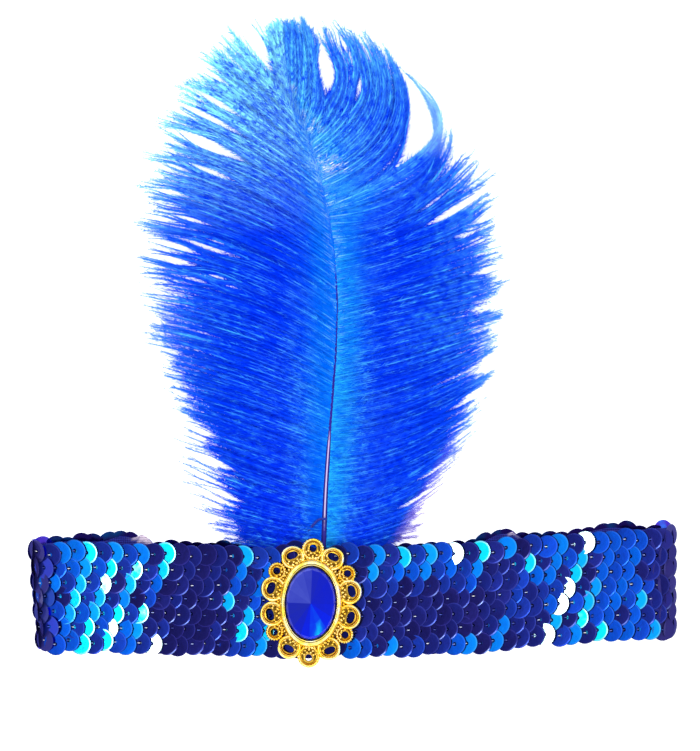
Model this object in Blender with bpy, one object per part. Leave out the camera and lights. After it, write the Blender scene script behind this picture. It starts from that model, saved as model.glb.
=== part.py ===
"""Flapper headband lying flat: a loop of sequins on elastic, with a jewelled cameo and an ostrich plume.

The tables give millimetres, and meshes are made in metres.
X runs along the band, Y towards the tip of the plume, and Z up from the surface that it lies on.
The origin is on that surface, straight below the middle of the cameo.
"""

import math

import bmesh
import bpy
from mathutils import Matrix, Vector

MM = 0.001

# The flattened loop
FOLD_LEFT = -97.6
FOLD_RIGHT = 125.5
LOOP_THICK = 12.0
FOLD_SLANT = 3.0
COVER_THICK = 1.6
ELASTIC_THICK = 1.0
ELASTIC_WIDTH = 34.0
PIECE_GAP = 0.3
RUN_PARTS = 14
FOLD_PARTS = 8

# How far the back layer of the band stands above the front one, as x, rise, reach
BACK_RISES = (
    (-78.0, 1.6, 14.0),
    (-62.0, 2.8, 6.0),
    (66.0, 3.0, 6.0),
    (104.0, 2.2, 10.0),
    (124.0, 2.0, 8.0),
)

# Sequins
ROWS = 7
ROW_PITCH = 5.1
DISC = 7.0
DISCS_PER_ROW = 102
SCALE_RELIEF = 0.5
RIM_STEP = 0.35
RIM_CURL = 1.1
SEAT_X = 14.0
SEAT_Y = 9.0

# Cameo
CAMEO_TURN = math.radians(-2.3)
BEZEL_OUTER = (10.4, 14.6)
BEZEL_INNER = (8.8, 12.5)
PLATE_HALF = (12.6, 17.0)
PLATE_THICK = 1.0
BEZEL_HEIGHT = 4.2
BEZEL_SIDES = 28
BEAD_RADIUS = 0.75
BEAD_LINE = (11.5, 15.8)
BEADS = 28

# One quarter of the lobes, as x, y, radius, hole radius, hole drawn outwards; the others mirror them
LOBES = (
    (0.0, 18.4, 3.9, 1.15, 0.4),
    (6.8, 15.4, 4.1, 1.6, 0.7),
    (12.0, 10.4, 3.15, 1.1, 0.2),
    (13.1, 4.3, 4.35, 1.7, 0.8),
)
LOBE_RIM = 0.8
LOBE_HEIGHT = 1.5

# Gem
GEM_HALF = (8.5, 12.2)
GEM_TABLE = (4.9, 7.4)
GEM_GIRDLE = 2.6
GEM_CROWN = 2.6
GEM_SIDES = 16

# Line of the quill, as x, y, z, radius
QUILL = (
    (3.9, -8.0, 7.4, 0.9),
    (4.1, 4.0, 7.4, 1.3),
    (4.4, 21.0, 7.4, 1.3),
    (5.0, 38.0, 7.8, 1.25),
    (6.0, 53.0, 8.3, 1.15),
    (7.3, 69.0, 8.8, 1.05),
    (8.6, 86.0, 9.2, 0.95),
    (9.1, 104.0, 9.2, 0.85),
    (8.1, 120.0, 8.8, 0.75),
    (6.2, 133.0, 8.2, 0.65),
    (3.4, 146.0, 7.4, 0.58),
    (-0.3, 158.0, 6.4, 0.5),
    (-4.3, 169.0, 5.4, 0.44),
    (-8.8, 180.5, 4.3, 0.36),
)

# Locks of barbs, as y where they leave the quill, x and y of the tip, bow, where the slit above starts
LEFT_LOCKS = (
    (21.5, -30.5, 26.0, 0.03, 0.50),
    (24.5, -36.5, 34.0, 0.05, 0.60),
    (30.0, -34.5, 44.5, 0.07, 0.80),
    (37.0, -38.5, 55.0, 0.08, 0.80),
    (45.0, -42.5, 66.0, 0.09, 0.82),
    (53.0, -46.5, 77.0, 0.10, 0.82),
    (61.5, -51.5, 88.0, 0.10, 0.82),
    (70.0, -55.5, 99.0, 0.10, 0.80),
    (79.0, -57.0, 110.0, 0.10, 0.78),
    (88.0, -57.5, 121.0, 0.10, 0.78),
    (97.5, -57.0, 132.0, 0.10, 0.72),
    (107.0, -57.0, 143.0, 0.10, 0.78),
    (117.0, -55.5, 154.5, 0.10, 0.78),
    (127.0, -50.5, 166.0, 0.09, 0.80),
    (137.0, -44.0, 177.0, 0.08, 0.80),
    (147.5, -37.5, 188.0, 0.07, 0.80),
    (157.5, -30.5, 196.0, 0.03, 0.78),
    (166.5, -22.0, 201.5, 0.00, 0.80),
)
RIGHT_LOCKS = (
    (21.5, 35.5, 27.0, 0.03, 0.60),
    (24.5, 39.0, 35.0, 0.05, 0.82),
    (30.5, 45.5, 45.0, 0.07, 0.84),
    (38.5, 51.5, 56.0, 0.08, 0.86),
    (47.0, 56.0, 67.0, 0.08, 0.86),
    (56.0, 60.0, 78.0, 0.08, 0.86),
    (65.0, 62.5, 89.0, 0.08, 0.86),
    (74.5, 64.5, 100.0, 0.08, 0.86),
    (84.5, 65.5, 111.0, 0.08, 0.84),
    (94.5, 65.0, 121.5, 0.07, 0.80),
    (103.0, 63.5, 130.0, 0.06, 0.50),
    (111.0, 60.0, 145.5, 0.02, 0.80),
    (119.0, 53.0, 157.5, 0.00, 0.80),
    (127.0, 45.0, 171.0, -0.07, 0.42),
    (141.5, 31.5, 182.0, -0.05, 0.76),
    (150.5, 26.0, 190.0, -0.05, 0.62),
    (159.5, 14.5, 196.0, -0.04, 0.60),
    (168.0, 4.0, 201.0, -0.03, 0.75),
    (175.5, -6.5, 203.3, -0.01, 0.80),
)
LOCK_PARTS = 6
VANE_THICK_ROOT = 2.4
VANE_THICK_TIP = 1.0
VANE_FLOOR = 0.05
LOCK_STAGGER = 1.4
TIP_NARROW = 0.62


def clear_scene():
    for old in list(bpy.data.objects):
        bpy.data.objects.remove(old, do_unlink=True)


def make_material(name, colour, roughness, metallic=0.0):
    material = bpy.data.materials.new(name)
    material.use_nodes = True
    shader = material.node_tree.nodes["Principled BSDF"]
    shader.inputs["Base Color"].default_value = (*colour, 1.0)
    shader.inputs["Roughness"].default_value = roughness
    shader.inputs["Metallic"].default_value = metallic
    material.diffuse_color = (*colour, 1.0)
    return material


def make_object(name, points, faces, material, parent, smooth_angle=None):
    """One closed mesh from points in millimetres, with its faces turned outwards."""
    mesh = bpy.data.meshes.new(name)
    mesh.from_pydata([Vector(point) * MM for point in points], [], faces)
    work = bmesh.new()
    work.from_mesh(mesh)
    bmesh.ops.recalc_face_normals(work, faces=work.faces)
    work.to_mesh(mesh)
    work.free()
    if smooth_angle:
        mesh.shade_smooth()
        mesh.set_sharp_from_angle(angle=math.radians(smooth_angle))
    mesh.materials.append(material)
    made = bpy.data.objects.new(name, mesh)
    made.parent = parent
    bpy.context.scene.collection.objects.link(made)
    return made


def ease(value):
    """Smooth step from 0 to 1."""
    value = min(max(value, 0.0), 1.0)
    return value * value * (3.0 - 2.0 * value)


# The loop of the band

FOLD_RADIUS = LOOP_THICK / 2
RUN = FOLD_RIGHT - FOLD_LEFT - LOOP_THICK
FOLD = math.pi * FOLD_RADIUS
LOOP = 2 * (RUN + FOLD)
PITCH = LOOP / DISCS_PER_ROW
HALF_HEIGHT = (ROWS - 1) / 2 * ROW_PITCH + DISC / 2
SCALLOP = DISC / 2 - math.sqrt((DISC / 2) ** 2 - (PITCH / 2) ** 2)


def middle_line(x):
    """Y of the middle of the front layer: the band lies in a slight smile."""
    return 0.2 + 6.0 * ease((x - 20.0) / 100.0) + 1.6 * ease((10.0 - x) / 100.0)


def back_rise(x):
    rises = (rise * math.exp(-(((x - at) / reach) ** 2)) for at, rise, reach in BACK_RISES)
    return 0.3 + sum(rises)


def loop_point(along, across, depth):
    """A point at a length round the loop, a height across the band and a depth below its outer skin."""
    along %= LOOP
    radius = FOLD_RADIUS - depth
    if along < RUN:
        x, z = FOLD_LEFT + FOLD_RADIUS + along, LOOP_THICK - depth
        turn = 0.0
    elif along < RUN + FOLD:
        turn = (along - RUN) / FOLD_RADIUS
        x, z = FOLD_RIGHT - FOLD_RADIUS + radius * math.sin(turn), FOLD_RADIUS + radius * math.cos(turn)
    elif along < 2 * RUN + FOLD:
        x, z = FOLD_RIGHT - FOLD_RADIUS - (along - RUN - FOLD), depth
        turn = math.pi
    else:
        turn = (along - 2 * RUN - FOLD) / FOLD_RADIUS
        x, z = FOLD_LEFT + FOLD_RADIUS - radius * math.sin(turn), FOLD_RADIUS - radius * math.cos(turn)
        turn = math.pi - turn
    back = ease(turn / math.pi)
    y = middle_line(x) + across + back * back_rise(x)
    slant = FOLD_SLANT * (0.5 - across / (2 * HALF_HEIGHT)) * ease((-60.0 - x) / 30.0)
    return x + slant, y, z


def on_back_seat(along, across):
    """Whether this is where the weight of the cameo presses the sequins of the back layer flat."""
    x, _, z = loop_point(along, across, 0.0)
    return z < 0.001 and abs(x) < SEAT_X and abs(across) < SEAT_Y


def zip_rings(faces, lower, upper):
    """Triangles between two closed rings, each a list of (length round the loop, point number)."""
    lower, upper = sorted(lower), sorted(upper)
    low, high = 0, 0
    while low < len(lower) or high < len(upper):
        low_now, high_now = lower[low % len(lower)][1], upper[high % len(upper)][1]
        low_next = lower[(low + 1) % len(lower)]
        high_next = upper[(high + 1) % len(upper)]
        low_at = low_next[0] + (LOOP if low + 1 >= len(lower) else 0.0)
        high_at = high_next[0] + (LOOP if high + 1 >= len(upper) else 0.0)
        if high >= len(upper) or (low < len(lower) and low_at <= high_at):
            faces.append((low_now, low_next[1], high_now))
            low += 1
        else:
            faces.append((low_now, high_next[1], high_now))
            high += 1


def row_phase(row):
    return 0.5 * (row % 2)


def scale_lines():
    """The lines of the sequin relief from the lower edge to the upper one, as lists of (along, across, raised)."""
    lines = []
    for line in range(2 * ROWS + 1):
        across = (line - ROWS) * ROW_PITCH / 2
        row = min(line // 2, ROWS - 1)
        points = []
        for disc in range(DISCS_PER_ROW):
            rim = (disc + row_phase(row)) * PITCH
            if line in (0, 2 * ROWS):
                side = -1 if line == 0 else 1
                middle = rim - DISC / 2
                points.append((middle, side * HALF_HEIGHT, 0.5))
                points.append((middle + PITCH / 2, side * (HALF_HEIGHT - SCALLOP), 0.3))
            elif line % 2:
                points.append((rim, across, 1.0))
                points.append((rim + RIM_STEP, across, 0.0))
            else:
                points.append((rim - RIM_CURL, across, 0.5))
                points.append((rim - RIM_CURL + PITCH / 2, across, 0.4))
        lines.append(points)
    return lines


def loop_columns():
    """Lengths round the loop at which its plain inner faces have their corners."""
    runs = [RUN * part / RUN_PARTS for part in range(RUN_PARTS)]
    folds = [RUN + FOLD * part / FOLD_PARTS for part in range(FOLD_PARTS)]
    half = runs + folds
    return half + [along + RUN + FOLD for along in half]


def add_ring(points, ring):
    """Adds (along, across, depth) points and returns the ring that zip_rings takes."""
    start = len(points)
    points.extend(loop_point(*place) for place in ring)
    return [(place[0] % LOOP, start + number) for number, place in enumerate(ring)]


def make_sequin_cover(material, parent):
    points, faces, rings = [], [], []
    for line in scale_lines():
        ring = []
        for along, across, raised in line:
            raised = 1.0 if on_back_seat(along, across) else raised
            ring.append((along, across, SCALE_RELIEF * (1.0 - raised)))
        rings.append(add_ring(points, ring))
    inner_half = HALF_HEIGHT - SCALLOP - 0.3
    for side in (1, -1):
        rings.append(add_ring(points, [(along, side * inner_half, COVER_THICK) for along in loop_columns()]))
    for lower, upper in zip(rings, rings[1:] + rings[:1]):
        zip_rings(faces, lower, upper)
    return make_object("sequin_cover", points, faces, material, parent)


def make_elastic_band(material, parent):
    points, faces, rings = [], [], []
    outer = COVER_THICK + PIECE_GAP
    inner = outer + ELASTIC_THICK
    for depth, side in ((outer, -1), (outer, 1), (inner, 1), (inner, -1)):
        ring = [(along, side * ELASTIC_WIDTH / 2, depth) for along in loop_columns()]
        rings.append(add_ring(points, ring))
    for lower, upper in zip(rings, rings[1:] + rings[:1]):
        zip_rings(faces, lower, upper)
    return make_object("elastic_band", points, faces, material, parent, smooth_angle=40)


# The plume

def beside_quill(y, side):
    """The point just clear of the quill on one side, where it passes this y."""
    for low, high in zip(QUILL, QUILL[1:]):
        if y <= high[1]:
            break
    share = (y - low[1]) / (high[1] - low[1])
    x, y, z, radius = (a + (b - a) * share for a, b in zip(low, high))
    along = Vector((high[0] - low[0], high[1] - low[1], 0.0)).normalized()
    outward = Vector((along.y, -along.x, 0.0)) * side
    return Vector((x, y, z)) + outward * (radius + PIECE_GAP * 1.6)


def make_quill(material, parent):
    sides = 8
    points, faces = [], []
    for number, (x, y, z, radius) in enumerate(QUILL):
        before = Vector(QUILL[max(number - 1, 0)][:3])
        after = Vector(QUILL[min(number + 1, len(QUILL) - 1)][:3])
        frame = (after - before).to_track_quat("Y", "Z").to_matrix()
        for side in range(sides):
            turn = 2 * math.pi * side / sides
            around = frame @ Vector((radius * math.cos(turn), 0.0, radius * math.sin(turn)))
            points.append(Vector((x, y, z)) + around)
    for ring in range(len(QUILL) - 1):
        for side in range(sides):
            a, b = ring * sides + side, ring * sides + (side + 1) % sides
            faces.append((a, b, b + sides, a + sides))
    faces.append(tuple(range(sides)))
    faces.append(tuple(range(len(points) - sides, len(points))))
    return make_object("quill", points, faces, material, parent, smooth_angle=50)


def lock_line(lock, side, number):
    """Points along the middle of one lock, from beside the quill to its tip."""
    root_y, tip_x, tip_y, bow, _ = lock
    root = beside_quill(root_y, side)
    z = root.z
    tip = Vector((tip_x, tip_y, z))
    chord = tip - root
    upward = Vector((-chord.y, chord.x, 0.0)) * side
    bend = root + chord * 0.45 + upward * bow * 2
    tip_z = VANE_FLOOR + VANE_THICK_TIP / 2 + LOCK_STAGGER * (number % 2)
    line = []
    for part in range(LOCK_PARTS + 1):
        t = part / LOCK_PARTS
        place = root * (1 - t) ** 2 + bend * 2 * t * (1 - t) + tip * t * t
        place.z = tip_z + (z - tip_z) * (1 - t ** 1.7)
        line.append(place)
    return line


def make_vane(name, locks, side, material, parent):
    """A comb of locks, whole beside the quill and slit towards the tips, ridged along each lock."""
    lines = [lock_line(lock, side, number) for number, lock in enumerate(locks)]
    points, faces = [], []

    def add(place, up):
        points.append((place.x, place.y, place.z + up))
        return len(points) - 1

    def thick(part):
        return VANE_THICK_ROOT + (VANE_THICK_TIP - VANE_THICK_ROOT) * part / LOCK_PARTS

    def border(number, part):
        """Where lock `number` meets the one above it, or its own free edge at either end of the comb."""
        if 0 <= number < len(lines) - 1:
            return (lines[number][part] + lines[number + 1][part]) / 2
        inner = 0 if number < 0 else len(lines) - 1
        other = 1 if number < 0 else len(lines) - 2
        half = (lines[inner][part] - lines[other][part]) / 2
        spread = Vector((half.x, half.y, 0.0)) * (0.1 + 0.6 * part / LOCK_PARTS)
        return lines[inner][part] + spread

    def edge(number, part, slit):
        """Edge of a lock on the side of border `number`, drawn in beyond the slit."""
        share = max(0.0, (part / LOCK_PARTS - slit) / (1 - slit))
        return share ** 1.2 * TIP_NARROW

    shared = {}
    rows = []
    for number, lock in enumerate(locks):
        slit_above = lock[4]
        slit_below = locks[number - 1][4] if number else 0.3
        columns = {"low": [], "mid": [], "high": []}
        for part in range(LOCK_PARTS + 1):
            middle = lines[number][part]
            half = thick(part) / 2
            columns["mid"].append((add(middle, half), None))
            for key, line_number, slit in (("low", number - 1, slit_below), ("high", number, slit_above)):
                drawn = edge(line_number, part, slit)
                inside = 0 <= line_number < len(lines) - 1
                if inside and drawn == 0.0 and (line_number, part) in shared:
                    columns[key].append(shared[line_number, part])
                    continue
                place = border(line_number, part).lerp(middle, drawn)
                pair = (add(place, half * 0.45), add(place, -half))
                if inside and drawn == 0.0:
                    shared[line_number, part] = pair
                columns[key].append(pair)
        rows.append(columns)
    for number, columns in enumerate(rows):
        for part in range(LOCK_PARTS):
            low, high = columns["low"][part], columns["high"][part]
            low_next, high_next = columns["low"][part + 1], columns["high"][part + 1]
            mid, mid_next = columns["mid"][part][0], columns["mid"][part + 1][0]
            faces.append((low[0], mid, mid_next, low_next[0]))
            faces.append((mid, high[0], high_next[0], mid_next))
            faces.append((low[1], low_next[1], high_next[1], high[1]))
            for key, line_number, here, after in (
                ("low", number - 1, low, low_next),
                ("high", number, high, high_next),
            ):
                welded = (line_number, part) in shared and (line_number, part + 1) in shared
                if not welded:
                    faces.append((here[0], after[0], after[1], here[1]))
        for part in (0, LOCK_PARTS):
            low, high, mid = columns["low"][part], columns["high"][part], columns["mid"][part][0]
            faces.append((low[0], mid, high[0], high[1], low[1]))
    return make_object(name, points, faces, material, parent)


# The cameo

def oval(half, sides, height, turn=0.0):
    step = 2 * math.pi / sides
    return [(half[0] * math.cos(step * (n + turn)), half[1] * math.sin(step * (n + turn)), height) for n in range(sides)]


def add_shell(shells, rings, closed_up=False):
    """A closed shell through rings of equal length; closed_up joins the last ring to the first, as on a hoop."""
    points, faces = shells
    start, sides = len(points), len(rings[0])
    for ring in rings:
        points.extend(ring)
    last = len(rings) if closed_up else len(rings) - 1
    for level in range(last):
        for side in range(sides):
            a = start + level * sides + side
            b = start + level * sides + (side + 1) % sides
            c = start + (level + 1) % len(rings) * sides + (side + 1) % sides
            d = start + (level + 1) % len(rings) * sides + side
            faces.append((a, b, c, d))
    if not closed_up:
        faces.append(tuple(start + side for side in range(sides)))
        top = start + (len(rings) - 1) * sides
        faces.append(tuple(top + side for side in range(sides)))


def moved(ring, x, y):
    return [(px + x, py + y, pz) for px, py, pz in ring]


def all_lobes():
    """Each lobe of the frame as x, y, radius, hole radius, hole x, hole y."""
    for x, y, radius, hole, drawn in LOBES:
        outward = math.hypot(x, y)
        hole_x, hole_y = x * (1 + drawn / outward), y * (1 + drawn / outward)
        for side_x in ((1, -1) if x else (1,)):
            for side_y in (1, -1):
                yield x * side_x, y * side_y, radius, hole, hole_x * side_x, hole_y * side_y


def boolean(target, shells, name, operation):
    helper = make_object(name, *shells, None, target.parent)
    helper.location = target.location
    helper.rotation_euler = target.rotation_euler
    helper.hide_render = True
    helper.display_type = "WIRE"
    modifier = target.modifiers.new(name, "BOOLEAN")
    modifier.operation = operation
    modifier.object = helper
    modifier.use_self = True
    return helper


def make_setting(material, parent):
    """Plate, pierced lobes with raised rims, beads and bezel, cast as one piece."""
    plate = ([], [])
    add_shell(plate, [oval(PLATE_HALF, BEZEL_SIDES, 0.0), oval(PLATE_HALF, BEZEL_SIDES, PLATE_THICK)])
    setting = make_object("cameo_setting", *plate, material, parent)
    setting.location = (0.0, 0.0, (LOOP_THICK + PIECE_GAP) * MM)
    setting.rotation_euler = (0.0, 0.0, CAMEO_TURN)
    lobes = ([], [])
    for number, (x, y, radius, *_) in enumerate(all_lobes()):
        low = 0.02 * (number % 3)
        top = radius - 0.35
        rings = [oval((radius, radius), 12, low), oval((radius, radius), 12, LOBE_HEIGHT - 0.4 + low)]
        rings.append(oval((top, top), 12, LOBE_HEIGHT + low))
        add_shell(lobes, [moved(ring, x, y) for ring in rings])
    boolean(setting, lobes, "lobe_discs", "UNION")
    dishes = ([], [])
    for x, y, radius, hole, hole_x, hole_y in all_lobes():
        bowl = radius - LOBE_RIM
        below = moved(oval((hole, hole), 10, -0.6), hole_x, hole_y)
        floor = moved(oval((hole, hole), 10, 0.7), hole_x, hole_y)
        above = moved(oval((bowl, bowl), 10, LOBE_HEIGHT + 0.1), x, y)
        add_shell(dishes, [below, floor, above])
    boolean(setting, dishes, "lobe_holes", "DIFFERENCE")
    raised = ([], [])
    wall = [
        oval(BEZEL_OUTER, BEZEL_SIDES, 0.4),
        oval(BEZEL_OUTER, BEZEL_SIDES, BEZEL_HEIGHT - 1.0),
        oval((BEZEL_OUTER[0] - 0.6, BEZEL_OUTER[1] - 0.6), BEZEL_SIDES, BEZEL_HEIGHT),
        oval((BEZEL_INNER[0] + 0.3, BEZEL_INNER[1] + 0.3), BEZEL_SIDES, BEZEL_HEIGHT - 0.1),
        oval(BEZEL_INNER, BEZEL_SIDES, BEZEL_HEIGHT - 0.6),
        oval(BEZEL_INNER, BEZEL_SIDES, 0.4),
    ]
    add_shell(raised, wall, closed_up=True)
    for bead in range(BEADS):
        turn = 2 * math.pi * (bead + 0.5) / BEADS
        x, y = BEAD_LINE[0] * math.cos(turn), BEAD_LINE[1] * math.sin(turn)
        low, high = BEAD_RADIUS, BEAD_RADIUS * 0.5
        rings = [oval((low, low), 6, 0.5), oval((high, high), 6, LOBE_HEIGHT + 0.4)]
        add_shell(raised, [moved(ring, x, y) for ring in rings])
    boolean(setting, raised, "bezel_and_beads", "UNION")
    return setting


def make_gem(material, parent):
    """Oval stone with a flat back, a girdle, two rows of crown facets and a table."""
    shells = ([], [])
    low = PLATE_THICK + PIECE_GAP
    middle = ((GEM_HALF[0] + GEM_TABLE[0]) / 2 + 0.3, (GEM_HALF[1] + GEM_TABLE[1]) / 2 + 0.4)
    rings = [
        oval((GEM_HALF[0] - 0.5, GEM_HALF[1] - 0.5), GEM_SIDES, low),
        oval(GEM_HALF, GEM_SIDES, low + 0.6),
        oval(GEM_HALF, GEM_SIDES, GEM_GIRDLE),
        oval(middle, GEM_SIDES, GEM_GIRDLE + GEM_CROWN * 0.62, 0.5),
        oval(GEM_TABLE, GEM_SIDES, GEM_GIRDLE + GEM_CROWN),
    ]
    add_shell(shells, rings)
    gem = make_object("gem", *shells, material, parent)
    gem.location = (0.0, 0.0, (LOOP_THICK + PIECE_GAP) * MM)
    gem.rotation_euler = (0.0, 0.0, CAMEO_TURN)
    return gem


def main():
    clear_scene()
    headband = bpy.data.objects.new("headband", None)
    bpy.context.scene.collection.objects.link(headband)
    sequin = make_material("sequin_blue", (0.02, 0.10, 0.75), 0.25, 0.6)
    elastic = make_material("elastic_blue", (0.03, 0.05, 0.35), 0.85)
    gold = make_material("gold_metal", (0.95, 0.66, 0.10), 0.25, 1.0)
    glass = make_material("gem_blue", (0.01, 0.03, 0.75), 0.08)
    feather = make_material("feather_blue", (0.01, 0.11, 0.90), 0.7)
    horn = make_material("quill_blue", (0.16, 0.10, 0.45), 0.45)
    make_elastic_band(elastic, headband)
    make_sequin_cover(sequin, headband)
    make_setting(gold, headband)
    make_gem(glass, headband)
    make_quill(horn, headband)
    make_vane("left_vane", LEFT_LOCKS, -1, feather, headband)
    make_vane("right_vane", RIGHT_LOCKS, 1, feather, headband)


main()
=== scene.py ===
import math

import bpy
import numpy as np
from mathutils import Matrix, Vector


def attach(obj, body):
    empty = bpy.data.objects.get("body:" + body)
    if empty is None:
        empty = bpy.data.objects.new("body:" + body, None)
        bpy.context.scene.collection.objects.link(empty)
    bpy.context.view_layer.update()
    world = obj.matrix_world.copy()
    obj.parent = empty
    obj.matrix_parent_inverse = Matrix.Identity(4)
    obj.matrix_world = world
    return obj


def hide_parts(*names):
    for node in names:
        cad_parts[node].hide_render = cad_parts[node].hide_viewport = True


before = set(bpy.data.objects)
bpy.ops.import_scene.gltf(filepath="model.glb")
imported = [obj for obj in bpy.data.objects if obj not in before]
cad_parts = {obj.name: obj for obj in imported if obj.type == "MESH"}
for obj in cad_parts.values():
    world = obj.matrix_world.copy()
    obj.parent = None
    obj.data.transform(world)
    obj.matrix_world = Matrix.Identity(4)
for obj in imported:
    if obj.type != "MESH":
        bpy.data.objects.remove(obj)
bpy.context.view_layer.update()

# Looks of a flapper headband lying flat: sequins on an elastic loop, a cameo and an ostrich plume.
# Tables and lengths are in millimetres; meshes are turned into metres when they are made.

DRAW = np.random.default_rng(1925)

# Place of the eye that the sequins lean for
EYE_X, EYE_Z = 13.0, 1295.0

# The flattened loop of the band
FOLD_LEFT, FOLD_RIGHT, LOOP_THICK = -97.6, 125.5, 12.0
FOLD_SLANT = 3.0
FOLD_RADIUS = LOOP_THICK / 2
RUN = FOLD_RIGHT - FOLD_LEFT - LOOP_THICK
FOLD = math.pi * FOLD_RADIUS
LOOP = 2 * (RUN + FOLD)
MIDDLE_Y, RIGHT_RISE, LEFT_RISE = 0.2, 6.0, 1.6

# How much higher the back lies than the front: everywhere, and in swells as x, rise and reach
BACK_RISE = 0.3
BACK_SWELLS = ((-80, 1.6, 14), (-65, 3, 5.5), (66, 3, 6), (104, 2.2, 10), (124, 2, 8))

# Ribbon, and the swells of its edge on the back
RIBBON_HALF, RIBBON_OUTSIDE, RIBBON_INSIDE = 17.0, 2.0, 2.75
RIBBON_SWELLS = ((-58, 3.6, 2.8), (70, 1.5, 1.6))

# Sequins; a disc takes 7 mm of the band's height, and is wider than that where it leans
ROWS, ROW_PITCH, DISC, DISCS_PER_ROW = 7, 5.1, 7.0, 102
DISC_RADIUS, DISC_SIDES = 3.9, 24
PITCH = LOOP / DISCS_PER_ROW
HALF_HEIGHT = (ROWS - 1) / 2 * ROW_PITCH + DISC / 2

# Section of a disc: radius, height, and shares of a ring in the painted rim highlight, the painted shadow
# of the dark outline and the underside
DISC_RINGS = np.array((
    (0.7, 0, 0, 0.3, 0),
    (0.8, 0, 0, 0, 0),
    (3.3, 0, 0, 0, 0),
    (3.6, 0.01, 1, 0, 0),
    (DISC_RADIUS, 0.03, 0.7, 0.65, 0),
    (DISC_RADIUS, -0.05, 0, 0.9, 1),
    (0.7, -0.1, 0, 0, 1),
))
OUTER_RING = 4

# How brightly sequins glance, which sets both their lean and the painted reflection in their colour:
# level, spread and how much neighbours take turns
PLAIN_GLANCE = (0.44, 0.2, 0.16)
# The same in patches of the band, after x, y and reach in x and y
PATCHES = (
    (-96, 0, 4.5, 30, 0.02, 0.02, 0),
    (-90, 0, 4, 30, 0.34, 0.10, 0.1),
    (-72, 0, 15, 30, 0.49, 0.18, 0.12),
    (-41, -1, 14.5, 30, 0.03, 0.10, 0.04),
    (42, -4.5, 26, 12.5, 0.03, 0.07, 0.02),
    (70, 2, 9, 30, 0.18, 0.16, 0.06),
    (107, 4, 9.5, 30, 0.425, 0.05, 0.03),
    (126, 4, 12, 30, 0.05, 0.06, 0),
    (0, 0, 17, 22, 0.02, 0.04, 0),
)
# Single sequins that flash or lie dark, painted into their colour and their lean, as x, y and brightness
FLASHES = (
    (-81, 16, 0.84), (-54, 16, 0.86), (-69, 9, 0.84), (-61, 9, 0.93), (-51, 10, 0.8), (-73, 5, 0.96),
    (-79, 1, 0.78), (-75, 0, 0.72), (-67, -3, 0.9), (-59, -2, 0.92), (-71, -6, 1.1), (-78, -10, 0.86),
    (-73, -11, 0.9), (-83, -13, 0.84), (-58, -14, 1.1), (-32, -1, 0.74), (-24, -13, 0.84),
    (-17, -11, 0.8), (19, 11, 1), (34, 16, 0.8), (43, 16, 0.7), (53, 17, 1.2), (61, 17, 0.88),
    (70, 12, 0.84), (94, 18, 1.2), (91, 5, 1.2), (84, 1, 1.2), (89, -5, 0.92), (81, -11, 1.2),
    (97, -8, 0.9), (90, 11, 0.8), (97, 10, 0.05), (111, 9, 0.05), (109, -6, 0.08), (92, -9, 0.1),
    (85, -5, 0.08), (115, 2, 0.75), (115, -8, 0.7), (63, -5, 0.58), (63, -13, 0.6), (70, 18, 0.6),
    (-60, 0, 0), (-65, 5, 0.05), (-69, 1, 0.62), (-76, 9, 0.3), (-87, 4, 0.05), (57, -14, 0.62),
    (49, -15, 0.45), (26, -17, 0.62), (17, -16, 0.5), (24, 17, 0.62), (24, 11, 0.66), (75, 11, 0.5),
)
# Sequins of the top row that stand proud of it, as x and rise
TOP_ROW_Y = 17.0
RAISED = ((-5.5, 2.4), (13.0, 1.0))

# Cameo, measured from its own centre
CAMEO_TURN = math.radians(-2.3)
CAMEO_Z = LOOP_THICK + 0.3
SEAT_HALF = (15.0, 20.0)
PLATE_MIDDLE = (9.9, 14.2)
BEZEL_MIDDLE = (9.8, 13.95)
BEAD_LINE, BEADS = (11.25, 15.6), 72

# Lobes of one quarter, as x, y, radius, radius of the hole and how far the hole is drawn outwards
LOBES = (
    (0, 18.4, 3.9, 1.15, 0.4),
    (6.8, 15.4, 4.1, 1.6, 0.7),
    (12, 10.4, 3.15, 1.1, 0.2),
    (13.1, 4.3, 4.35, 1.7, 0.8),
)

# Closed sections of the plate and the bezel, as outwards and up
PLATE = np.array(((-2.4, 0.15), (2.0, 0.15), (2.2, 0.4), (2.0, 0.85), (-2.4, 0.95)))
BEZEL = np.array((
    (0.95, 0.4), (0.95, 1.9), (0.9, 2.3), (0.75, 2.9), (0.5, 3.45), (0.2, 3.85), (-0.15, 4.12),
    (-0.45, 4.2), (-0.7, 4.12), (-0.85, 3.9), (-0.92, 3.5), (-0.92, 0.4),
))
# Section of a lobe: share of the way from hole to rim, extra radius, height and bite of the notches
LOBE_RINGS = (
    (0, 0.25, 0.1, 0), (0, 0, 0.25, 0), (0, 0, 0.7, 0), (0, 0.2, 0.95, 0),
    (0.45, 0, 0.6, 0), (1, -1.05, 0.8, 0), (1, -0.9, 1.4, 0.5), (1, -0.66, 1.75, 1),
    (1, -0.4, 1.8, 1), (1, -0.14, 1.55, 1), (1, 0, 1.2, 0.6), (1, 0, 0.3, 0),
    (1, -0.25, 0.1, 0),
)

# Rings of the stone, as half width, half height and level, and the painted reflection shades of its
# sectors from the right
STONE_BASE, STONE_GIRDLE = (8.3, 12.0, 1.3), (8.8, 12.65, 2.8)
STONE_CROWN, STONE_TABLE, STONE_TOP = (8.45, 12.2, 4.2), (7.9, 11.5, 4.8), 4.9
SECTOR_LIGHT = (0.52, 0.5, 0.46, 0.4, 0.16, 0.08, 0.05, 0.1, 0.32, 0.36, 0.48, 0.66, 0.8, 0.86, 0.72, 0.58)
# Sectors with a painted flash, with the shades at their two corners on the table
FLASHING = {12: (0.74, 1.0), 13: (1.0, 0.78)}

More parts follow.
